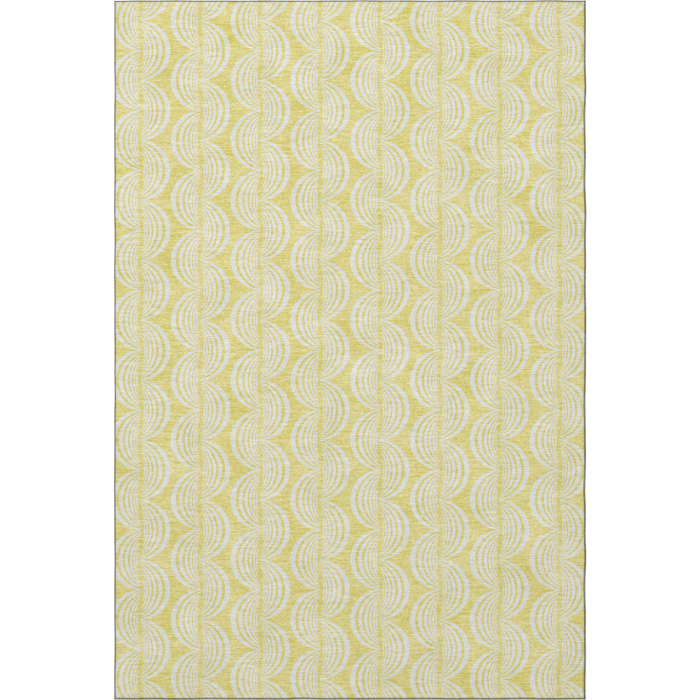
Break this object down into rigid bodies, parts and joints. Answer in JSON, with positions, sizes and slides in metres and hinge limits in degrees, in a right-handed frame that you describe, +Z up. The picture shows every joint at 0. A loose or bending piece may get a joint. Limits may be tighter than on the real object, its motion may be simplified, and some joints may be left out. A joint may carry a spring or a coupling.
{
  "type": "area rug",
  "caption": "Flat rectangular area rug: chenille face cloth printed with stacked crescents, felt core and rubber grip backing, bound by a dark overlock seam.",
  "frame": {"origin": "middle of the underside, where the rug rests on the floor", "axes": "+X across the rug's width to its right side, +Y along its length to its head end (upwards when the rug is seen from above), +Z up, out of the printed face"},
  "size_m": [1.524, 2.26, 0.0057],
  "materials": {
    "chenille_face": "heathered chenille, yellow ground printed with off-white crescents, matt",
    "felt_core": "needled felt, matt",
    "grip_rubber": "soft matt rubber with small raised grips",
    "overlock_thread": "dark olive-charcoal textured polyester thread, slight sheen"
  },
  "bodies": {
    "root": {"face_cloth": "chenille_face", "felt_core": "felt_core", "grip_backing": "grip_rubber", "upper_looper_foot": "overlock_thread", "upper_looper_right": "overlock_thread", "upper_looper_head": "overlock_thread", "upper_looper_left": "overlock_thread", "lower_looper_foot": "overlock_thread", "lower_looper_right": "overlock_thread", "lower_looper_head": "overlock_thread", "lower_looper_left": "overlock_thread", "needle_thread_foot": "overlock_thread", "needle_thread_right": "overlock_thread", "needle_thread_head": "overlock_thread", "needle_thread_left": "overlock_thread", "corner_tack_foot_left": "overlock_thread", "corner_tack_foot_right": "overlock_thread", "corner_tack_head_right": "overlock_thread", "corner_tack_head_left": "overlock_thread"}
  },
  "joints": []
}
